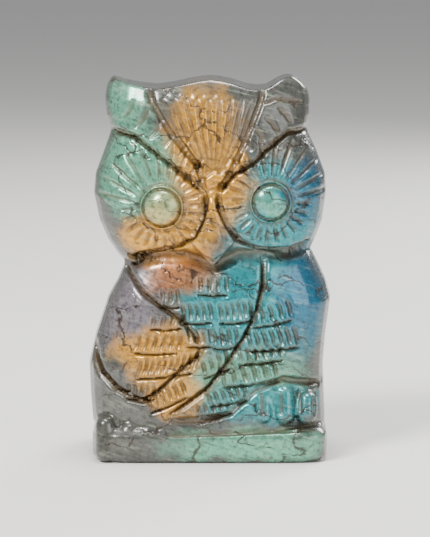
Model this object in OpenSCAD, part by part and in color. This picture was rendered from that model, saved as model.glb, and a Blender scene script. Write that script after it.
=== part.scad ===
// Carved stone owl, standing on a plinth.
// +Z is up, the owl faces -Y, and the origin is the centre of the resting face.
// Left and right are the viewer's, looking at the face.

/* [Figure] */
// Height from the resting face to the tip of the ear tufts
fig_h = 50; // [40:1:75]
// Width over the widest part of the wings
fig_w = 32; // [26:1:48]
// Depth from the front of the plinth to its back
fig_d = 20; // [16:1:30]

/* [Relief] */
// Width of the carved grooves between neighbouring forms
groove_w = 0.6; // [0.3:0.05:0.9]
// Width of the fine cuts between the ribs of the feathers
rib_cut_w = 0.4; // [0.2:0.05:0.6]
// How far the forms of the face stand out of the head
face_relief = 1.5; // [1:0.1:2]
// How far the wings, breast and tail stand out of the torso
plumage_relief = 1.2; // [0.8:0.1:1.8]
// How far the face and the wings stand out at the flanks
flank_relief = 0.7; // [0.4:0.1:1]

/* [Eyes] */
// Radius of the eye domes
eye_r = 2.35; // [1.9:0.05:2.8]
// How far the domes bulge out of their rings
eye_bulge = 0.9; // [0.6:0.1:1.5]
// Width of the ring round each eye
ring_w = 0.6; // [0.3:0.05:0.8]
// Number of ribs that fan out round each eye
disc_ribs = 18; // [12:1:24]
// Plain margin between an eye's ring and those ribs
rib_margin = 0.5; // [0.3:0.1:1]
// How far the rings stand out of the facial discs
ring_relief = 0.3; // [0.2:0.05:0.8]
// Depth of the seat that eye and ring stand in
eye_seat = 2; // [1.8:0.1:3]

/* [Beak] */
// Width over the cheeks of the beak
beak_w = 6; // [4:0.2:8]
// Length from the bridge to the tip
beak_l = 8.2; // [6:0.2:9]
// How far the ridge of the beak stands out of the face
beak_relief = 1.1; // [0.6:0.1:1.8]
// Radius of the beak's rounded corners
beak_round = 0.5; // [0.3:0.1:0.8]

/* [Plinth] */
// Height of the plinth
plinth_h = 4.4; // [3:0.2:6]
// Radius of the plinth's edges
plinth_edge = 0.8; // [0.3:0.1:1.2]
// Radius of a toe
toe_r = 1.4; // [1:0.05:1.8]

/* [Hidden] */

half_w = fig_w / 2;
half_d = fig_d / 2;
// Longer than the figure is deep, for cuts that go right through
through = 3 * fig_d;
// A share past the silhouette on either side, in percent of the half-width
past = 112;

// Points round a cross-section, and steps between two of its stations
ring_points = 32;
station_steps = 1;
// Steps between two points of a smooth outline
curve_steps = 2;
// How square the cross-sections are: 2 is an ellipse
head_power = 2.7;
torso_power = 3.2;
// Sides of the cutter's ball, of the toes and of the seats
ball_sides = 5;
ball_turn = [17, 31, 11];
// The grooves follow the skin up to this share of the half-width
widest_share = 0.985;
// The grooves lie this far beside the faces where two forms meet
off_line = 0.03;
toe_sides = 10;
seat_sides = 32;

// Stations in percent of the figure: height, left and right half-width, front and back depth.
head_stations = [
    [49.4, 60, 54, 44, 44],
    [51, 70, 72, 62, 60],
    [53.2, 76, 81, 77, 73],
    [57, 84, 87, 86, 80],
    [62, 91, 93, 88.5, 84],
    [69, 95.5, 96, 88.5, 86],
    [74, 94, 95, 87.5, 85],
    [80, 87, 88, 84, 80],
    [85.4, 81, 80, 80, 75],
    [90, 85, 82, 76, 68],
    [94, 86, 82, 70, 60],
    [97.6, 84, 79, 60, 50],
    [103, 74, 69, 40, 30]
];
torso_stations = [
    [0, 93, 94, 94, 94],
    [8, 97, 96, 94, 97],
    [16, 99, 95, 93, 99],
    [24, 100, 94, 92, 98.5],
    [32, 94, 96, 90.5, 95],
    [41.4, 84, 100, 88, 90],
    [46, 76, 96, 85, 86],
    [50, 70.6, 90, 80, 80],
    [55, 70, 82, 72, 72],
    [58, 64, 74, 66, 64]
];

// Lines of the carving in the front view, in percent of the half-width and of the height
crown = [[-90, 99], [-81, 100], [-70, 98.6], [-43, 97], [-16, 98.6], [1, 99.4], [19, 98.4],
    [32, 97], [46, 97], [56, 99], [67, 100], [78, 97]];
left_brow = [[-past, 86], [-78, 86.4], [-61, 85], [-42.5, 80.8], [-25.6, 76.8], [-4, 71]];
right_brow = [[past, 86], [78, 86.6], [63, 86], [44.5, 81.4], [36, 78.6], [18, 75.4], [7, 71]];
left_temple = [[-48, 101], [-47, 94], [-31.5, 85.8], [-10, 77.8], [-4, 71]];
right_temple = [[43, 101], [41, 94], [30, 85], [18, 76.8], [7, 71]];
left_cheek = [[-4, 71], [-4.4, 68], [-6.2, 63.8], [-12.5, 59.6], [-25.6, 56.6], [-42, 55.2],
    [-57, 54], [-74, 50]];
right_cheek = [[7, 71], [9, 67], [15, 62.3], [24.4, 58.4], [38, 56], [52, 55.2], [65.6, 54.6],
    [84, 51]];
left_shoulder = [[-74, 60], [-72, 52.4], [-65, 49.2], [-54, 44.5], [-42, 41.8], [-31, 39.6],
    [-20, 37], [-6, 31]];
left_wing_edge = [[-6, 31], [-9, 28], [-26, 23.4], [-42, 18.4], [-54, 16.2], [-63, 17],
    [-75, 18.8], [-88, 23], [-92, 26.6], [-96, 31], [-past, 33]];
right_wing_edge = [[44.4, 60], [44.4, 53], [44.4, 46.8], [39.4, 40], [30.6, 33.8], [17, 27],
    [0, 20], [-20, 15], [-34, 12]];
right_wing_hem = [[-34, 12], [-6, 12], [17, 14], [36, 20], [60, 22], [86, 20], [past, 20]];
tail_edge = [[-34, 60], [-30, 44], [-25, 26], [-14, 14], [0, 10], [14, 14], [25, 26], [30, 44],
    [34, 60]];
back_wing_edge = [[-40, 50], [-46, 38], [-60, 26], [-80, 18]];

// Places of the eyes and of the beak's bridge, in the same percent
left_eye_at = [-38.8, 66.8];
right_eye_at = [49.4, 68.2];
bridge_at = [2.4, 68.4];
// How far down the beak its cheeks and the highest point of its ridge lie
cheek_share = 0.6;
ridge_share = 0.68;

// Toes: percent of the half-width across, percent of the height at the sole and at the top
left_toes = [[-85, 0, 12], [-66, 0, 10.6], [-48, 0, 11.4]];
right_toes = [[43, 10, 19], [61, 10, 20.4], [79, 10, 18.6]];
// Half-width of the plinth, and where the left foot takes its corner: across and in depth
plinth_share = 96.5;
foot_corner = [-38, -60];

// The cuts of the forehead fan: where the row of them starts and where it ends at the crown
fan_cuts = 8;
fan_foot = [[-2, 77.5], [5, 77.5]];
fan_crown = [[-36, 96], [33, 96]];

// Rows of ribs: from one end to the other in percent, the number of cuts between the ribs,
// and how far each cut runs, in percent of the half-width and of the height.
breast_rows = [
    [[-8, 46.5], [13, 46.5], 3, [0, 3.6]],
    [[-38, 43.5], [-26, 43.5], 2, [-1, 3.4]],
    [[-21, 39.5], [0, 40], 4, [-1, 4.6]],
    [[10, 39.5], [34, 40.5], 5, [-1, 4.6]],
    [[-16, 32], [1, 32.5], 3, [-1, 4]],
    [[4, 32], [22, 33], 4, [-1, 4.4]],
    [[-4, 24], [15, 27], 3, [-2, 4.4]],
    [[-46, 14], [-20, 18.4], 5, [-3, 4]]
];
left_wing_rows = [
    [[-47, 36], [-24, 36.6], 4, [2, 3.4]],
    [[-62, 29.6], [-27, 30.4], 6, [3, 4.6]],
    [[-60, 22.6], [-16, 26], 8, [4, 4.8]],
    [[-67, 17.6], [-47, 18], 4, [0, 3.2]]
];
right_wing_rows = [
    [[37, 36.6], [66, 38.6], 4, [-3, 5]],
    [[34, 30], [72, 31.4], 7, [-4, 5]],
    [[24, 26.4], [58, 28], 6, [-4, 4]],
    [[12, 20.4], [54, 22.6], 6, [-5, 5]],
    [[0, 15.6], [28, 17], 5, [-4, 4]]
];
tail_rows = [
    [[-22, 36], [22, 36], 5, [0, 9]],
    [[-16, 22], [16, 22], 4, [0, 9]]
];
barb_rows = [
    [[-72, 88], [-28, 79.6], 5, [3, 4.4]],
    [[34, 80.6], [66, 88], 4, [-4, 4]]
];

function place(p) = [p[0] / 100 * half_w, p[1] / 100 * fig_h];
function size_of(station) = [
    station[0] / 100 * fig_h,
    station[1] / 100 * half_w,
    station[2] / 100 * half_w,
    station[3] / 100 * half_d,
    station[4] / 100 * half_d
];

// A smooth curve through its points, by Catmull and Rom's rule
function between(a, b, c, d, t) =
    0.5 * (2 * b + (c - a) * t + (2 * a - 5 * b + 4 * c - d) * t * t
        + (3 * b - a - 3 * c + d) * t * t * t);
function smooth(points, steps) =
    let (last = len(points) - 1)
    [
        for (i = [0:last - 1]) for (k = [0:steps - 1])
            between(points[max(i - 1, 0)], points[i], points[i + 1],
                points[min(i + 2, last)], k / steps),
        points[last]
    ];
function backwards(points) = [for (i = [len(points) - 1:-1:0]) points[i]];
function curve(points) = [for (p = smooth(points, curve_steps)) place(p)];

function sizes(stations) = [for (s = smooth(stations, station_steps)) size_of(s)];
head_sizes = sizes(head_stations);
torso_sizes = sizes(torso_stations);

// One column of a form's sizes against its height, for lookup()
function column(sizes, i) = [for (s = sizes) [s[0], s[i]]];

// Depth of the skin of a form at a place of the front view; side is -1 in front, 1 behind
function front_or_back(sizes, power, p, side = -1) =
    let (
        half = lookup(p[1], column(sizes, p[0] < 0 ? 1 : 2)),
        share = min(abs(p[0]) / half, widest_share)
    )
    side * lookup(p[1], column(sizes, side < 0 ? 3 : 4))
        * pow(1 - pow(share, power), 1 / power);
function head_face(p) = front_or_back(head_sizes, head_power, p);
function torso_face(p, side = -1) = front_or_back(torso_sizes, torso_power, p, side);

function bent(c, power) = sign(c) * pow(abs(c), 2 / power);
function ring(s, power, front, flank, back) = [
    for (k = [0:ring_points - 1])
        let (a = 360 * k / ring_points, c = bent(cos(a), power), n = bent(sin(a), power))
        [
            c * ((c < 0 ? s[1] : s[2]) - flank),
            n * (n < 0 ? s[3] - front : s[4] - back),
            s[0]
        ]
];

// A form lofted through its sizes, taken in by so much at its front, flanks and back
module loft(sizes, power, front = 0, flank = 0, back = 0) {
    rings = [for (s = sizes) ring(s, power, front, flank, back)];
    count = len(rings);
    polyhedron(
        [for (r = rings) each r],
        concat(
            [[for (k = [0:ring_points - 1]) k]],
            [
                for (i = [0:count - 2]) for (k = [0:ring_points - 1])
                    let (a = i * ring_points, n = (k + 1) % ring_points)
                    each [
                        [a + k, a + ring_points + k, a + ring_points + n],
                        [a + k, a + ring_points + n, a + n]
                    ]
            ],
            [[for (k = [ring_points - 1:-1:0]) (count - 1) * ring_points + k]]
        )
    );
}

// A prism over areas of the front view, from one depth to another
module prism(areas, from, to) {
    translate([0, to, 0]) rotate([90, 0, 0]) linear_extrude(to - from)
        for (area = areas) polygon(area);
}
module front_prism(areas) { prism(areas, -through, 0); }
module back_prism(areas) { prism(areas, 0, through); }

// The cutter: a ball, turned so that none of its corners lies on the line that it follows
module ball(width) { rotate(ball_turn) sphere(d = width, $fn = ball_sides); }

// The cutter drawn along points in space
module stroke(points, width) {
    for (i = [0:len(points) - 2]) hull() {
        translate(points[i]) ball(width);
        translate(points[i + 1]) ball(width);
    }
}
function on_head(p) = [p[0] + off_line, head_face(p), p[1]];
function on_torso(p, side) = [p[0] + off_line, torso_face(p, side), p[1]];
module head_groove(line, width = groove_w) {
    stroke([for (p = curve(line)) on_head(p)], width);
}
module torso_groove(line, width = groove_w, side = -1) {
    stroke([for (p = curve(line)) on_torso(p, side)], width);
}

// The cuts between the ribs of a row, as short lines of the front view
function row_cuts(row) = [
    for (i = [0:row[2] - 1])
        let (foot = row[0] + (row[1] - row[0]) * i / (row[2] - 1))
        [foot, foot + row[3]]
];
module torso_ribs(rows, side = -1) {
    for (row = rows) for (cut = row_cuts(row)) torso_groove(cut, rib_cut_w, side);
}
module head_ribs(rows) {
    for (row = rows) for (cut = row_cuts(row)) head_groove(cut, rib_cut_w);
}

module head_blank() {
    intersection() {
        loft(head_sizes, head_power);
        prism([under_crown], -through, through);
    }
}
module head_core() {
    loft(head_sizes, head_power, face_relief, flank_relief, flank_relief);
}
module torso_blank() { loft(torso_sizes, torso_power); }
module torso_core() {
    loft(torso_sizes, torso_power, plumage_relief, flank_relief, plumage_relief);
}

// Areas of the front view between those lines
under_crown = concat(curve(crown), [for (p = [[1, 95], [1, 40], [-1, 40], [-1, 95]])
    place([p[0] * past, p[1]])]);
left_tuft_area = concat(curve(left_brow), backwards(curve(left_temple)), [place([-past, 101])]);
right_tuft_area = concat(curve(right_brow), backwards(curve(right_temple)),
    [place([past, 101])]);
fan_area = concat(curve(left_temple), backwards(curve(right_temple)));
left_disc_area = concat(curve(left_brow), curve(left_cheek), [place([-past, 48])]);
right_disc_area = concat(curve(right_brow), curve(right_cheek), [place([past, 48])]);
left_wing_area = concat(curve(left_shoulder), curve(left_wing_edge), [place([-past, 60])]);
right_wing_area = concat(curve(right_wing_edge), curve(right_wing_hem), [place([past, 60])]);
breast_area = concat(curve(left_shoulder),
    [for (i = [0:4 * curve_steps]) curve(left_wing_edge)[i]],
    backwards(curve(right_wing_edge)));
tail_area = curve(tail_edge);

// Everything that the head, with its beak, takes up
module head_space() {
    head_blank();
    beak_blank();
}

// A form of the face or of the plumage: its area of the blank, down to the core
module face_form(area) {
    difference() {
        intersection() {
            head_blank();
            front_prism([area]);
        }
        head_core();
        beak_blank();
    }
}
module plumage_form(area) {
    difference() {
        intersection() {
            torso_blank();
            front_prism([area]);
        }
        torso_core();
        head_space();
        plinth_space();
        toes(left_toes);
        toes(right_toes);
    }
}

module face_grooves() {
    for (line = [left_brow, right_brow, left_temple, right_temple, left_cheek, right_cheek])
        head_groove(line);
}
module plumage_grooves() {
    for (line = [left_shoulder, left_wing_edge, right_wing_edge, right_wing_hem])
        torso_groove(line);
}

// The frame of an eye: its centre on the face, with +Z along the way it looks
module at_eye(eye) {
    p = place(eye);
    step = [eye_r / 2, 0];
    turn = atan2(head_face(p + step) - head_face(p - step), eye_r);
    translate([p[0], head_face(p), p[1]]) rotate([0, 0, turn]) rotate([90, 0, 0]) children();
}
module eye_pocket(eye) {
    at_eye(eye) translate([0, 0, -eye_seat])
        cylinder(r = (eye_r + ring_w) / cos(180 / seat_sides), h = through, $fn = seat_sides);
}
module eye_dome() {
    bulge_r = (eye_r * eye_r + eye_bulge * eye_bulge) / (2 * eye_bulge);
    rim = ring_relief / 2;
    translate([0, 0, -eye_seat]) cylinder(r = eye_r, h = eye_seat + rim, $fn = seat_sides);
    intersection() {
        translate([0, 0, rim + eye_bulge - bulge_r]) sphere(r = bulge_r, $fn = seat_sides);
        translate([0, 0, rim]) cylinder(r = eye_r, h = 2 * eye_bulge, $fn = seat_sides);
    }
}
module eye_ring() {
    rotate_extrude($fn = seat_sides) {
        translate([eye_r, -eye_seat]) square([ring_w, eye_seat + ring_relief - ring_w / 2]);
        intersection() {
            translate([eye_r + ring_w / 2, ring_relief - ring_w / 2]) circle(ring_w / 2, $fn = 16);
            translate([eye_r, 0]) square([ring_w, 2 * ring_w]);
        }
    }
}

// The beak as a solid that runs back into the head
module beak_blank() {
    bridge = place(bridge_at);
    face_y = head_face(bridge);
    cheek_z = bridge[1] - cheek_share * beak_l;
    hull() {
        for (depth = [face_y, face_y + 2 * face_relief]) {
            translate([bridge[0], depth, bridge[1]]) sphere(beak_round, $fn = toe_sides);
            for (side = [-1, 1])
                translate([bridge[0] + side * (beak_w / 2 - beak_round), depth, cheek_z])
                    sphere(beak_round, $fn = toe_sides);
            translate([bridge[0], depth, bridge[1] - beak_l + beak_round])
                sphere(beak_round, $fn = toe_sides);
        }
        translate([bridge[0], face_y - beak_relief + beak_round,
                bridge[1] - ridge_share * beak_l])
            sphere(beak_round, $fn = toe_sides);
    }
}

// The plinth's room: the foot of the torso, up to the plinth's height
module plinth_space() {
    translate([-fig_w, -fig_d, -1]) cube([2 * fig_w, 2 * fig_d, plinth_h + 1]);
}
module toes(places) {
    for (toe = places) {
        x = toe[0] / 100 * half_w;
        low = toe[1] / 100 * fig_h;
        high = toe[2] / 100 * fig_h;
        hull() for (back = [0, 4 * toe_r]) {
            translate([x, toe_r - half_d + back, low + toe_r]) sphere(toe_r, $fn = toe_sides);
            translate([x, 1.4 * toe_r - half_d + back, high - toe_r])
                sphere(toe_r, $fn = toe_sides);
        }
    }
}
module plinth_blank() {
    half = plinth_share / 100 * half_w;
    footprint = [for (p = ring([0, half, half, half_d, half_d], 8, 0, 0, 0)) [p[0], p[1]]];
    hull() {
        linear_extrude(plinth_h) offset(delta = -plinth_edge) polygon(footprint);
        translate([0, 0, plinth_edge]) linear_extrude(plinth_h - 2 * plinth_edge)
            polygon(footprint);
    }
}
// The corner of the plinth that the left foot stands in
module foot_room() {
    translate([-fig_w + foot_corner[0] / 100 * half_w, -fig_d + foot_corner[1] / 100 * half_d, -1])
        cube([fig_w, fig_d, plinth_h + 1]);
}

module plinth() {
    color("darkseagreen") difference() {
        plinth_blank();
        foot_room();
        toes(left_toes);
        toes(right_toes);
    }
}
module torso() {
    color("dimgray") difference() {
        union() {
            torso_core();
            difference() {
                torso_blank();
                front_prism([left_wing_area, right_wing_area, breast_area]);
                back_prism([tail_area]);
            }
        }
        head_space();
        plinth_space();
        toes(left_toes);
        toes(right_toes);
        plumage_grooves();
        for (line = [tail_edge, back_wing_edge, [for (p = back_wing_edge) [-p[0], p[1]]]])
            torso_groove(line, side = 1);
    }
}
module breast() {
    color("goldenrod") difference() {
        plumage_form(breast_area);
        plumage_grooves();
        torso_ribs(breast_rows);
    }
}
module left_wing() {
    color("darkkhaki") difference() {
        plumage_form(left_wing_area);
        plumage_grooves();
        torso_ribs(left_wing_rows);
    }
}
module right_wing() {
    color("cadetblue") difference() {
        plumage_form(right_wing_area);
        plumage_grooves();
        torso_ribs(right_wing_rows);
    }
}
module tail() {
    color("slategray") difference() {
        intersection() {
            torso_blank();
            back_prism([tail_area]);
        }
        torso_core();
        head_space();
        plinth_space();
        torso_groove(tail_edge, side = 1);
        torso_ribs(tail_rows, side = 1);
    }
}
module left_foot() {
    color("lightgray") {
        intersection() {
            plinth_blank();
            foot_room();
        }
        toes(left_toes);
    }
}
module right_foot() { color("steelblue") toes(right_toes); }
module head() {
    color("darkslategray") difference() {
        union() {
            intersection() {
                head_core();
                head_blank();
            }
            difference() {
                head_blank();
                front_prism([left_tuft_area, right_tuft_area, fan_area, left_disc_area,
                    right_disc_area]);
            }
        }
        beak_blank();
        face_grooves();
        eye_pocket(left_eye_at);
        eye_pocket(right_eye_at);
    }
}
function part_way(line, i) = line[0] + (line[1] - line[0]) * i / (fan_cuts - 1);
module forehead_fan() {
    color("orange") difference() {
        face_form(fan_area);
        face_grooves();
        for (i = [0:fan_cuts - 1])
            head_groove([part_way(fan_foot, i), part_way(fan_crown, i)], rib_cut_w);
    }
}
module ear_tuft(area) {
    difference() {
        face_form(area);
        face_grooves();
        head_ribs(barb_rows);
    }
}
module left_ear_tuft() { color("honeydew") ear_tuft(left_tuft_area); }
module right_ear_tuft() { color("darkolivegreen") ear_tuft(right_tuft_area); }
module facial_disc(area, eye) {
    centre = place(eye);
    inner = eye_r + ring_w + rib_margin;
    difference() {
        face_form(area);
        face_grooves();
        eye_pocket(eye);
        for (i = [0:disc_ribs - 1]) {
            a = 360 * i / disc_ribs;
            points = [for (reach = [inner, 2 * inner, 3 * inner])
                centre + reach * [cos(a), sin(a)]];
            stroke([for (p = points) on_head(p)], rib_cut_w);
        }
    }
}
module left_facial_disc() { color("gold") facial_disc(left_disc_area, left_eye_at); }
module right_facial_disc() { color("darkcyan") facial_disc(right_disc_area, right_eye_at); }
module left_eye_ring() { color("sienna") at_eye(left_eye_at) eye_ring(); }
module right_eye_ring() { color("navy") at_eye(right_eye_at) eye_ring(); }
module left_eye() { color("palegoldenrod") at_eye(left_eye_at) eye_dome(); }
module right_eye() { color("paleturquoise") at_eye(right_eye_at) eye_dome(); }
module beak() {
    color("rosybrown") difference() {
        beak_blank();
        head_core();
    }
}

plinth();
torso();
breast();
left_wing();
right_wing();
tail();
left_foot();
right_foot();
head();
forehead_fan();
left_ear_tuft();
right_ear_tuft();
left_facial_disc();
right_facial_disc();
left_eye_ring();
right_eye_ring();
left_eye();
right_eye();
beak();
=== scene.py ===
"""Small owl carved from one piece of labradorite: its looks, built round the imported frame.

Lengths inside the carving functions are millimetres; objects are in metres.
Left and right are the viewer's, looking at the face.
"""
import math

import bmesh
import bpy
import numpy as np
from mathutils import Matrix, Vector
from mathutils.bvhtree import BVHTree


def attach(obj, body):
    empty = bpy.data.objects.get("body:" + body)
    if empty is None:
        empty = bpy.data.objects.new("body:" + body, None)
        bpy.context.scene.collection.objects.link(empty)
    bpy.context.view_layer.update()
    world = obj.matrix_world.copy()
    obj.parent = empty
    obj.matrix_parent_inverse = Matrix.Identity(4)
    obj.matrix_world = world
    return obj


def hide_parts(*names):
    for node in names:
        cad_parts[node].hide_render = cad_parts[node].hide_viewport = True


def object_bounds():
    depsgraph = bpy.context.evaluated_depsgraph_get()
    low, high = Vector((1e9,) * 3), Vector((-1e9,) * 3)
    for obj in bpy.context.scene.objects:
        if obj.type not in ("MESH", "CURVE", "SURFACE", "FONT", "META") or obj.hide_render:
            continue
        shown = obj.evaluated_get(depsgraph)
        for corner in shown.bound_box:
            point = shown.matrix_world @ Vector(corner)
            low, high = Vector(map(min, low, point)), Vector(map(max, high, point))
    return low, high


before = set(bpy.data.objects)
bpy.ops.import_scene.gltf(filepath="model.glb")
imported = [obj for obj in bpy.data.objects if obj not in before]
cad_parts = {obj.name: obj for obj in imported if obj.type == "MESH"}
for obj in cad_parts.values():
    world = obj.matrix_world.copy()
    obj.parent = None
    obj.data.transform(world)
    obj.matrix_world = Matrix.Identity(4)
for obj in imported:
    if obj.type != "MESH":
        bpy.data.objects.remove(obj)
cad_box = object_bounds()

MM = 0.001
LOW, HIGH = (np.array(corner) / MM for corner in cad_box)
FINEST_VOXEL = 0.15
VOXEL = FINEST_VOXEL
# Rounds of smoothing at the finest grain, and the strength of each
SMOOTH_ROUNDS, SMOOTH_STRENGTH = 30, 0.5
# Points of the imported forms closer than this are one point
WELD = 1e-4
# Thickness of each form's wall behind the skin
WALL = 0.9
MOST_TRIANGLES = 190000
# Edges that turn more than this are shaded sharp
CRISP = math.radians(62)


# ---------------------------------------------------------------- carving

# Cuts begin where a normal points this far forward, and are full this much further on
FACING_FROM, FACING_OVER = 0.1, 0.5
# Lines leave out skin that faces the front less than this
LEAST_FACING = 0.02
# A groove this deep gets the full darker brown of the grooves
FULL_DEPTH = 0.35
# Share of a step's length over which it fades at both ends
STEP_TAPER = 0.08
# The side of a line that stands over the other, looking along the line
LEFT_SIDE, RIGHT_SIDE = 1, -1


class Carving:
    """Heights to add along the skin, as strokes of the burr seen in the front view.

    A line is a list of (across, up) points. cut keeps how deep each point lies in a groove.
    """

    def __init__(self, points, facing):
        self.x, self.z = points[:, 0], points[:, 2]
        self.facing = facing
        self.height = np.zeros(len(points))
        self.cut = np.zeros(len(points))

    def along(self, line, reach):
        """Rows near a line, their distance from it, signed side and share along it."""
        line = np.array(line, float)
        low, high = line.min(0) - reach, line.max(0) + reach
        rows = np.where((self.x > low[0]) & (self.x < high[0]) & (self.z > low[1])
                        & (self.z < high[1]) & (self.facing > LEAST_FACING))[0]
        here = np.stack([self.x[rows], self.z[rows]], 1)
        best = np.full(len(rows), np.inf)
        share = np.zeros(len(rows))
        side = np.zeros(len(rows))
        lengths = np.linalg.norm(np.diff(line, axis=0), axis=1)
        start = 0
        for a, b, length in zip(line, line[1:], lengths):
            way = (b - a) / length
            t = np.clip((here - a) @ way, 0, length)
            off = here - (a + t[:, None] * way)
            far = np.linalg.norm(off, axis=1)
            closer = far < best
            best[closer] = far[closer]
            share[closer] = ((start + t) / lengths.sum())[closer]
            side[closer] = (way[0] * off[:, 1] - way[1] * off[:, 0])[closer]
            start += length
        return rows, best, side, share

    def groove(self, line, width, depth, taper=0.15):
        """A round-bottomed cut that runs out over a share of its length at both ends."""
        rows, far, _, share = self.along(line, 2 * width)
        ends = np.clip(np.minimum(share, 1 - share) / taper, 0, 1) ** 0.5 if taper else 1
        profile = np.exp(-(far / (0.5 * width)) ** 2) * ends
        self.height[rows] -= depth * profile * self.facing[rows]
        self.cut[rows] = np.maximum(self.cut[rows], profile * min(1, depth / FULL_DEPTH))

    def step(self, line, drop, reach, up):
        """One side of the line stands over the other, and slopes away behind its edge."""
        rows, far, side, share = self.along(line, reach)
        over = np.sign(side) == up
        ends = np.clip(np.minimum(share, 1 - share) / STEP_TAPER, 0, 1)
        rise = np.exp(-far / (0.5 * reach))
        dip = -0.6 * np.exp(-far / (0.25 * reach))
        lift = np.where(over, rise, dip)
        fade = np.clip(1 - far / reach, 0, 1)
        self.height[rows] += drop * lift * fade * ends * self.facing[rows]

    def dome(self, centre, radius, rise):
        """A round swelling, highest at its centre."""
        far = np.hypot(self.x - centre[0], self.z - centre[1]) / radius
        inside = far < 1
        self.height[inside] += (rise * (1 - far[inside] ** 2) ** 0.6) * self.facing[inside]

    def row(self, start, end, count, run, width=0.5, depth=0.28):
        """Cuts side by side, each of them running off by run."""
        start, end, run = (np.array(v, float) for v in (start, end, run))
        for i in range(count):
            foot = start + (end - start) * i / max(count - 1, 1)
            bow = foot + 0.5 * run + 0.08 * np.array([run[1], -run[0]])
            self.groove([foot, bow, foot + run], width, depth, taper=0.3)


# Lines of the carving
LEFT_EYE, RIGHT_EYE = (-6.2, 33.4), (7.9, 34.1)
LEFT_BROW = [(-13.4, 43.2), (-9.8, 42.6), (-6.8, 40.4), (-4.1, 38.4), (-0.8, 35.5)]
RIGHT_BROW = [(13.4, 43.2), (10.1, 43), (7.1, 40.7), (5.8, 39.3), (2.9, 37.7), (1.2, 35.5)]
LEFT_TEMPLE = [(-7.9, 48.4), (-7.5, 47), (-5, 42.9), (-1.6, 38.9), (-0.6, 35.5)]
RIGHT_TEMPLE = [(6.9, 48.4), (6.6, 47), (4.8, 42.5), (2.9, 38.4), (1.2, 35.5)]
LEFT_CHEEK = [(-0.7, 35.5), (-0.7, 34), (-1, 31.9), (-2, 29.8), (-4.1, 28.3), (-6.7, 27.6),
              (-9.1, 27), (-11.6, 25)]
RIGHT_CHEEK = [(1.1, 35.5), (1.4, 33.5), (2.4, 31.2), (3.9, 29.2), (6.1, 28), (8.3, 27.6),
               (10.5, 27.6), (13.6, 28.6)]
CHIN = [(-11.8, 25), (-9, 26.4), (-6, 27.1), (-3, 27), (0.5, 25.6), (3.8, 27.2), (7, 27.2),
        (10.5, 27.2), (13.4, 28.2)]
LEFT_SHOULDER = [(-11.5, 26), (-10.4, 24.6), (-8.6, 22.3), (-6.7, 20.9), (-5, 19.8),
                 (-3.2, 18.5), (-1, 15.5)]
LEFT_WING = [(-1, 15.5), (-1.4, 14), (-4.1, 11.7), (-6.7, 9.2), (-8.6, 8.1), (-10.1, 8.5),
             (-12, 9.4), (-14.2, 11.5), (-14.9, 13.3), (-15.3, 15.6)]
RIGHT_WING = [(7.1, 27), (7.1, 23.4), (6.3, 20), (4.9, 16.9), (2.7, 13.5), (0, 9.9),
              (-3.2, 7.5), (-5.5, 6)]
RIGHT_HEM = [(-5.5, 5.6), (-1, 5.6), (2.7, 6.6), (5.8, 9.4), (9.6, 11), (13.6, 10.2), (15.6, 10)]
CREST_RIBS = 9
RIGHT_TUFT_CUT = [(6.9, 46.6), (8.6, 47.3), (12, 46.8)]
BEAK_CUTS = (
    [(-0.4, 31), (-0.9, 29.4), (-0.4, 27.4)],
    [(1.5, 31), (1.9, 29.6), (1.3, 27.6)],
)
PLINTH_TOP = [(-5.7, 3.7), (2, 4), (9, 4.4), (15.2, 4.7)]
TOE_CUTS = ((6.9, 6.2), (9.3, 6.4), (11.7, 6.4), (13.8, 6.2))
# Rows of feather ribs: first and last cut, how many, and how far each cut runs
BREAST_ROWS = (
    ((-1.3, 22.4), (2.1, 22.4), 4, (0, 2.1)), ((-6.2, 20.8), (-4.2, 20.8), 3, (0, 2)),
    ((-3.4, 18.6), (0.1, 18.8), 5, (-0.2, 2.4)), ((1.5, 18.6), (5.4, 19), 6, (-0.3, 2.5)),
    ((-2.6, 15.6), (0.1, 15.7), 4, (-0.2, 2)), ((0.7, 15.3), (3.5, 15.6), 4, (-0.3, 2.4)),
    ((-0.6, 11.4), (2.4, 12.8), 4, (-0.5, 2.2)), ((-7.6, 6.8), (-3.2, 9), 6, (-0.7, 1.9)),
)
LEFT_WING_ROWS = (
    ((-7.6, 17.8), (-3.8, 18), 4, (0.4, 1.5)), ((-9.8, 14.6), (-4.3, 14.8), 6, (0.7, 2.5)),
    ((-9.7, 11.2), (-2.3, 12.2), 10, (0.8, 2.4)), ((-10.7, 8.7), (-7.4, 8.7), 5, (0.1, 1.6)),
)
RIGHT_WING_ROWS = (
    ((5.8, 18), (10.6, 19), 5, (-0.6, 2.4)), ((5.4, 14.9), (11.5, 15.4), 7, (-0.7, 2.5)),
    ((4.2, 13.2), (9.4, 13.8), 6, (-0.7, 2)), ((2, 10.2), (8.8, 11.2), 6, (-0.9, 2.6)),
    ((0.2, 7.7), (4.8, 8.6), 6, (-0.7, 1.8)), ((-1.3, 6.4), (2.6, 6.9), 5, (-0.5, 1.4)),
)


def ring(centre, radius):
    """A closed circle in the front view."""
    return [(centre[0] + radius * math.cos(a), centre[1] + radius * math.sin(a))
            for a in np.linspace(0, math.tau, 33)]


def carve_eye(c, centre, radius, first_rib):
    """The dome, the two cuts that leave its ring, and the ribs that fan out round it."""
    c.dome(centre, radius, rise=0.35)
    c.groove(ring(centre, radius + 0.1), width=0.45, depth=0.4, taper=0)
    c.groove(ring(centre, radius + 0.75), width=0.5, depth=0.3, taper=0)
    for turn in range(first_rib, first_rib + 360, 15):
        way = np.array([math.cos(math.radians(turn)), math.sin(math.radians(turn))])
        inner = np.array(centre) + (radius + 0.95) * way
        reach = 5.2 if way[1] > 0.15 else 2.2
        rib = [inner, inner + 0.5 * reach * way, inner + reach * way]
        c.groove(rib, width=0.5, depth=0.32, taper=0.25)


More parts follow.
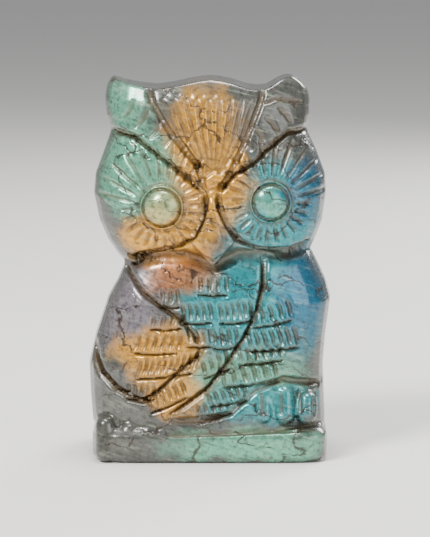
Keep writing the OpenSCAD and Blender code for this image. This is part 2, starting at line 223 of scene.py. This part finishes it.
def carve_face(c):
    for line in (LEFT_BROW, RIGHT_BROW, LEFT_TEMPLE, RIGHT_TEMPLE, LEFT_CHEEK, RIGHT_CHEEK):
        c.groove(line, width=0.75, depth=0.5, taper=0.06)
    c.groove(CHIN, width=1.5, depth=0.8, taper=0.03)
    c.step(LEFT_BROW, drop=0.4, reach=2.4, up=LEFT_SIDE)
    c.step(RIGHT_BROW, drop=0.4, reach=2.4, up=RIGHT_SIDE)
    c.step(LEFT_CHEEK, drop=0.35, reach=2.5, up=RIGHT_SIDE)
    c.step(RIGHT_CHEEK, drop=0.35, reach=2.5, up=LEFT_SIDE)
    carve_eye(c, LEFT_EYE, 2.4, 20)
    carve_eye(c, RIGHT_EYE, 2.25, 10)
    for i in range(CREST_RIBS):
        off_middle = i - CREST_RIBS // 2
        top = np.array([-6.2 + 1.5 * i, 47.4])
        foot = np.array([-0.5 + 0.22 * i, 37.8 - 0.1 * abs(off_middle)])
        bow = 0.5 * (foot + top) + (0.15 * off_middle, 0)
        c.groove([foot, bow, top], width=0.55, depth=0.34, taper=0.2)
    c.row((-11.4, 44.6), (-4.2, 40), 5, (1.6, 2.6))
    c.row((5.4, 40.6), (10.6, 44), 4, (-1.8, 2.2))
    c.groove(RIGHT_TUFT_CUT, width=0.5, depth=0.35)
    for line in BEAK_CUTS:
        c.groove(line, width=0.5, depth=0.22)


def carve_plumage(c):
    for line in (LEFT_SHOULDER, LEFT_WING, RIGHT_WING, RIGHT_HEM):
        c.groove(line, width=0.8, depth=0.5, taper=0.06)
    c.step(LEFT_SHOULDER, drop=0.4, reach=2.4, up=LEFT_SIDE)
    c.step(LEFT_WING, drop=0.45, reach=2.4, up=LEFT_SIDE)
    c.step(RIGHT_WING, drop=0.45, reach=2.6, up=LEFT_SIDE)
    for start, end, count, run in BREAST_ROWS + LEFT_WING_ROWS + RIGHT_WING_ROWS:
        c.row(start, end, count, run, width=0.55, depth=0.44)
        start, end, run = (np.array(v, float) for v in (start, end, run))
        hem = [start - 0.35 + 0.05 * run, 0.5 * (start + end) - (0, 0.45), end + (0.35, -0.3)]
        c.groove(hem, width=0.6, depth=0.4, taper=0.12)
        c.step(hem, drop=0.32, reach=1.8, up=LEFT_SIDE)
    for foot in TOE_CUTS:
        c.groove([foot, (foot[0] - 0.1, foot[1] + 3)], width=0.6, depth=0.35)
    c.groove(PLINTH_TOP, width=0.6, depth=0.3, taper=0.05)


# ---------------------------------------------------------------- the stone blank

def arrays(mesh):
    points = np.empty(len(mesh.vertices) * 3)
    mesh.vertices.foreach_get("co", points)
    normals = np.empty(len(mesh.vertices) * 3)
    mesh.vertex_normals.foreach_get("vector", normals)
    return points.reshape(-1, 3), normals.reshape(-1, 3)


def put_back(mesh, points):
    mesh.vertices.foreach_set("co", points.ravel())
    mesh.update()


def evaluated(obj):
    """The object's mesh with its modifiers applied, which are then removed."""
    mesh = bpy.data.meshes.new_from_object(
        obj.evaluated_get(bpy.context.evaluated_depsgraph_get()))
    obj.modifiers.clear()
    obj.data = mesh
    return mesh


def stone_blank():
    """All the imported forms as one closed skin, smoothed, in millimetres."""
    bm = bmesh.new()
    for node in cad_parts:
        bm.from_mesh(bpy.data.objects[node].data)
    bmesh.ops.scale(bm, vec=(1 / MM,) * 3, verts=bm.verts)
    bmesh.ops.remove_doubles(bm, verts=bm.verts, dist=WELD)
    mesh = bpy.data.meshes.new("blank")
    bm.to_mesh(mesh)
    bm.free()
    obj = bpy.data.objects.new("blank", mesh)
    bpy.context.collection.objects.link(obj)
    skin = obj.modifiers.new("skin", "REMESH")
    skin.mode = "VOXEL"
    skin.voxel_size = VOXEL
    soft = obj.modifiers.new("soft", "SMOOTH")
    soft.factor = SMOOTH_STRENGTH
    soft.iterations = round(SMOOTH_ROUNDS * (FINEST_VOXEL / VOXEL) ** 2)
    evaluated(obj)
    return obj


def carve(obj):
    """Carves the blank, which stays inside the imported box, and marks its grooves."""
    mesh = obj.data
    points, normals = arrays(mesh)
    facing = np.clip((-normals[:, 1] - FACING_FROM) / FACING_OVER, 0, 1)
    facing = facing * facing * (3 - 2 * facing)
    carving = Carving(points, facing)
    carve_face(carving)
    carve_plumage(carving)
    points = points + normals * carving.height[:, None]
    points[:, 2] = np.maximum(points[:, 2], 0)
    points = np.clip(points, LOW, HIGH)
    put_back(mesh, points)
    shade = mesh.attributes.new("cut", "FLOAT", "POINT")
    shade.data.foreach_set("value", carving.cut * facing)


# ---------------------------------------------------------------- the forms

def forms_of(obj):
    """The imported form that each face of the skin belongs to."""
    points, polygons, owners = [], [], []
    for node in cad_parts:
        mesh = bpy.data.objects[node].data
        base = len(points)
        points += [v.co / MM for v in mesh.vertices]
        polygons += [[base + i for i in p.vertices] for p in mesh.polygons]
        owners += [node] * len(mesh.polygons)
    tree = BVHTree.FromPolygons(points, polygons)
    return [owners[tree.find_nearest(p.center)[2]] for p in obj.data.polygons]


def cut_form(obj, node, faces):
    """One form as a closed solid: its part of the skin, with an inner wall."""
    bm = bmesh.new()
    bm.from_mesh(obj.data)
    bm.faces.ensure_lookup_table()
    keep = set(faces)
    bmesh.ops.delete(bm, geom=[f for f in bm.faces if f.index not in keep], context="FACES")
    bmesh.ops.scale(bm, vec=(MM,) * 3, verts=bm.verts)
    mesh = bpy.data.meshes.new(node + "_stone")
    bm.to_mesh(mesh)
    bm.free()
    piece = bpy.data.objects.new(node + "_stone", mesh)
    bpy.context.collection.objects.link(piece)
    wall = piece.modifiers.new("wall", "SOLIDIFY")
    wall.thickness = WALL * MM
    wall.offset = -1
    evaluated(piece)
    triangles = sum(len(p.vertices) - 2 for p in piece.data.polygons)
    if triangles > MOST_TRIANGLES:
        thin = piece.modifiers.new("thin", "DECIMATE")
        thin.ratio = MOST_TRIANGLES / triangles
        evaluated(piece)
    piece.data.shade_smooth()
    piece.data.set_sharp_from_angle(angle=CRISP)
    return piece


# ---------------------------------------------------------------- the stone's finish

class Value:
    """A shader socket that does sums."""

    def __init__(self, shader, socket):
        self.shader, self.socket = shader, socket

    def sum(self, operation, a, b):
        return self.shader.node("ShaderNodeMath", {"operation": operation}, {0: a, 1: b})

    def __add__(self, other):
        return self.sum("ADD", self, other)

    def __sub__(self, other):
        return self.sum("SUBTRACT", self, other)

    def __rsub__(self, other):
        return self.sum("SUBTRACT", other, self)

    def __mul__(self, other):
        return self.sum("MULTIPLY", self, other)

    __radd__ = __add__
    __rmul__ = __mul__


# Numbers of the sockets that are used besides a node's first one
COORD_NORMAL, COORD_OBJECT = 1, 3
SPLIT_Y, SPLIT_Z = 1, 2
NOISE_COLOUR, ATTRIBUTE_FACTOR, MIX_COLOUR = 1, 2, 2
MIX_A, MIX_B = 6, 7


class Shader:
    """A material and the nodes of its finish."""

    def __init__(self, name):
        self.material = bpy.data.materials.new(name)
        self.material.use_nodes = True
        self.tree = self.material.node_tree
        self.surface = self.tree.nodes["Principled BSDF"]

    def node(self, kind, settings=None, inputs=None, out=0):
        """A new node, its settings first, then its sockets; gives its output number out."""
        made = self.tree.nodes.new(kind)
        for key, value in (settings or {}).items():
            setattr(made, key, value)
        for key, value in (inputs or {}).items():
            self.feed(made.inputs[key], value)
        return Value(self, made.outputs[out])

    def feed(self, socket, value):
        if isinstance(value, Value):
            self.tree.links.new(value.socket, socket)
        else:
            socket.default_value = value

    def mix(self, share, a, b):
        return self.node("ShaderNodeMix", {"data_type": "RGBA"},
                         {0: share, MIX_A: a, MIX_B: b}, MIX_COLOUR)

    def ramp(self, value, low, high):
        return self.node("ShaderNodeMapRange", {"interpolation_type": "SMOOTHSTEP"},
                         {0: value, 1: low, 2: high})

    def noise(self, place, scale, detail=4.0, rough=0.55, distortion=0.0):
        return self.node("ShaderNodeTexNoise", {}, {
            "Vector": place, "Scale": scale, "Detail": detail, "Roughness": rough,
            "Distortion": distortion})


# Colours of the stone's body, of what lies in and on it, of its flashes, and of the painted
# shade on skin turned away from the front
GREY, DARK = (0.1, 0.1, 0.085, 1), (0.01, 0.013, 0.012, 1)
PALE_STREAK, DARK_STREAK = (0.7, 0.8, 0.55, 1), (0.03, 0.035, 0.025, 1)
PAINTED_SIDE_SHADE, GROOVE_BROWN = (0.035, 0.032, 0.024, 1), (0.09, 0.055, 0.02, 1)
CRACK_STAIN = (0.03, 0.018, 0.01, 1)
GOLD, AMBER = (0.68, 0.31, 0.015, 1), (0.5, 0.15, 0.01, 1)
TEAL, BLUE = (0.006, 0.27, 0.3, 1), (0.003, 0.1, 0.2, 1)
MINT, CREAM, LILAC = (0.13, 0.42, 0.27, 1), (0.42, 0.45, 0.18, 1), (0.23, 0.2, 0.23, 1)
# Where the stone flashes: colour, centre across and up, half-width, half-height, strength
FLASHES = (
    (LILAC, (-11, 20), (5, 6), 0.75),
    (LILAC, (-6, 25), (4, 2), 0.6),
    (MINT, (-9.5, 38), (6.5, 6.5), 0.95),
    (MINT, (-11, 46.5), (3.5, 3), 0.7),
    (TEAL, (9.5, 33), (7.5, 7.5), 1),
    (TEAL, (6, 20), (10, 8), 1),
    (BLUE, (12.5, 22), (4, 7), 0.85),
    (MINT, (4, 11), (9, 4), 0.7),
    (TEAL, (7, 8), (9, 3), 0.8),
    (BLUE, (13, 36), (3.5, 6), 0.8),
    (MINT, (5, 2.2), (11, 2.4), 0.95),
    (TEAL, (1, 22), (5, 4), 0.6),
    (GOLD, (-5.5, 29.5), (6.5, 4), 1),
    (GOLD, (-0.5, 40), (5, 9), 0.95),
    (GOLD, (2.5, 36), (3.5, 5), 0.8),
    (AMBER, (-3.5, 25), (5, 3), 0.7),
    (GOLD, (-6.5, 14.5), (6, 4), 0.95),
    (GOLD, (-4.5, 9), (4, 3), 0.8),
    (CREAM, (-6.2, 33.4), (2.6, 2.6), 0.7),
    (MINT, (7.9, 34.1), (2.4, 2.4), 0.7),
    (GREY, (10.5, 41), (4, 2.6), 0.85),
    (GREY, (-12.5, 4.5), (6, 4.5), 0.9),
)


def labradorite(name):
    """Dark grey stone with soft flashes, streaks, cracks, specks and grooves coloured a darker
    brown, with painted shade where the skin turns away from the front.
    """
    s = Shader(name)
    place = s.node("ShaderNodeTexCoord", {}, {}, COORD_OBJECT)
    # The spot on the stone, in millimetres
    spot = s.node("ShaderNodeMapping", {}, {"Vector": place, "Scale": (1000, 1000, 1000)})
    drift = s.node("ShaderNodeTexNoise", {},
                   {"Vector": spot, "Scale": 0.35, "Detail": 3.0}, NOISE_COLOUR)
    drift = s.node("ShaderNodeVectorMath", {"operation": "SUBTRACT"}, {0: drift, 1: (0.5,) * 3})
    drift = s.node("ShaderNodeVectorMath", {"operation": "SCALE"}, {0: drift, "Scale": 5.0})
    moved = s.node("ShaderNodeVectorMath", {"operation": "ADD"}, {0: spot, 1: drift})
    split = s.node("ShaderNodeSeparateXYZ", {}, {0: moved})
    across, up = split, Value(s, split.socket.node.outputs[SPLIT_Z])
    colour = s.mix(s.noise(spot, 0.5), GREY, DARK)
    flash = 0.0
    for tint, (x, z), (wide, tall), strength in FLASHES:
        right = (across - x) * (1 / wide)
        high = (up - z) * (1 / tall)
        share = s.ramp(right * right + high * high, 1.5, 0.1) * strength
        colour = s.mix(share, colour, tint)
        flash = share + flash * (1 - share) if isinstance(flash, Value) else share
    streaks = s.node("ShaderNodeMapping", {"vector_type": "TEXTURE"}, {
        "Vector": spot, "Rotation": (0, math.radians(17), 0), "Scale": (5, 3, 0.45)})
    grain = s.noise(streaks, 1.3, 5.0, 0.65, 0.4)
    colour = s.mix(s.ramp(grain, 0.5, 0.8) * 0.3, colour, PALE_STREAK)
    colour = s.mix(s.ramp(grain, 0.47, 0.26) * 0.6, colour, DARK_STREAK)
    cracks = s.node("ShaderNodeMapping", {"vector_type": "TEXTURE"}, {
        "Vector": moved, "Rotation": (0, math.radians(16), 0), "Scale": (9, 9, 3.6)})
    cracks = s.node("ShaderNodeTexVoronoi", {"feature": "DISTANCE_TO_EDGE"},
                    {"Vector": cracks, "Scale": 0.7})
    crack = s.ramp(cracks, 0.03, 0.004) * s.ramp(s.noise(spot, 0.4), 0.4, 0.5)
    cut = s.node("ShaderNodeAttribute", {"attribute_name": "cut"}, {}, ATTRIBUTE_FACTOR)
    specks = s.ramp(s.noise(spot, 3.2, 2.0), 0.72, 0.8)
    mottle = s.noise(spot, 1.6, 5.0, 0.7)
    colour = s.mix(s.ramp(mottle, 0.54, 0.34) * 0.6, colour, DARK)
    normal = s.node("ShaderNodeTexCoord", {}, {}, COORD_NORMAL)
    forward = s.node("ShaderNodeSeparateXYZ", {}, {0: normal}, SPLIT_Y)
    # Painted shade: skin that looks neither forward nor back is painted darker, and hides most
    # of its flash
    turned_away_shade = s.ramp(forward * forward, 0.5, 0.08)
    colour = s.mix(turned_away_shade * 0.72, colour, PAINTED_SIDE_SHADE)
    # Grooves are coloured a darker brown, more the deeper they are
    colour = s.mix(cut * 0.72, colour, GROOVE_BROWN)
    colour = s.mix(crack * 0.9, colour, CRACK_STAIN)
    colour = s.mix(specks * 0.6, colour, DARK)
    s.feed(s.surface.inputs["Base Color"], colour)
    s.feed(s.surface.inputs["Metallic"], flash * (1 - turned_away_shade) * 0.5)
    s.feed(s.surface.inputs["Roughness"], s.noise(spot, 2.0) * 0.25 + (cut * 0.2 + 0.14))
    bump = s.node("ShaderNodeBump", {}, {
        "Strength": 0.35, "Distance": 0.00008,
        "Height": mottle * 0.5 + grain * 0.3 - crack * 1.5 - specks * 0.6})
    s.feed(s.surface.inputs["Normal"], bump)
    s.surface.inputs["IOR"].default_value = 1.56
    s.surface.inputs["Coat Weight"].default_value = 0.35
    s.surface.inputs["Coat Roughness"].default_value = 0.08
    return s.material


# ---------------------------------------------------------------- the scene

# Lamps: name, place, size and power, all aimed at one point
LAMPS = (
    ("key", (-0.22, -0.24, 0.34), 0.14, 3.4),
    ("fill", (0.32, -0.3, 0.15), 0.3, 0.9),
    ("top", (0.02, 0.02, 0.4), 0.14, 1.6),
    ("rim", (0.2, 0.3, 0.2), 0.15, 1.2),
)
LAMP_AIM = (0, 0, 0.025)
FLOOR_HALF, FLOOR_COLOUR, FLOOR_ROUGHNESS = 3, (0.8, 0.78, 0.75, 1), 0.6
SKY_COLOUR, SKY_POWER = (0.9, 0.92, 0.95, 1), 0.4
# The camera: focal length and sensor in millimetres, the point it looks at, its distance and
# rise, and the nearest thing it shows
LENS, SENSOR = 190, 36
CAMERA_AIM, CAMERA_DISTANCE, CAMERA_RISE = (0.0007, 0, 0.0243), 0.375, math.radians(8)
NEAREST = 0.01


def light(name, place, size, power):
    lamp = bpy.data.lights.new(name, "AREA")
    lamp.size, lamp.energy = size, power
    obj = bpy.data.objects.new(name, lamp)
    obj.location = place
    obj.rotation_euler = (Vector(LAMP_AIM) - Vector(place)).to_track_quat("-Z", "Y").to_euler()
    bpy.context.collection.objects.link(obj)


def stage():
    bm = bmesh.new()
    bmesh.ops.create_grid(bm, x_segments=1, y_segments=1, size=FLOOR_HALF)
    mesh = bpy.data.meshes.new("floor")
    bm.to_mesh(mesh)
    bm.free()
    floor = bpy.data.objects.new("floor", mesh)
    bpy.context.collection.objects.link(floor)
    paint = Shader("floor")
    paint.surface.inputs["Base Color"].default_value = FLOOR_COLOUR
    paint.surface.inputs["Roughness"].default_value = FLOOR_ROUGHNESS
    mesh.materials.append(paint.material)
    world = bpy.data.worlds.new("studio")
    world.use_nodes = True
    sky = world.node_tree.nodes["Background"]
    sky.inputs["Color"].default_value = SKY_COLOUR
    sky.inputs["Strength"].default_value = SKY_POWER
    bpy.context.scene.world = world
    for lamp in LAMPS:
        light(*lamp)


def camera():
    lens = bpy.data.cameras.new("camera")
    lens.lens, lens.sensor_width = LENS, SENSOR
    obj = bpy.data.objects.new("camera", lens)
    aim = Vector(CAMERA_AIM)
    back = Vector((0, -math.cos(CAMERA_RISE), math.sin(CAMERA_RISE)))
    obj.location = aim + CAMERA_DISTANCE * back
    obj.rotation_euler = (aim - obj.location).to_track_quat("-Z", "Y").to_euler()
    lens.clip_start = NEAREST
    bpy.context.collection.objects.link(obj)
    bpy.context.scene.camera = obj


camera()
stage()
blank = stone_blank()
carve(blank)
stone = labradorite("labradorite")
owners = forms_of(blank)
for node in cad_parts:
    faces = [i for i, owner in enumerate(owners) if owner == node]
    piece = cut_form(blank, node, faces)
    piece.data.materials.clear()
    piece.data.materials.append(stone)
    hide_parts(node)
    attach(piece, "root")
bpy.data.objects.remove(blank)
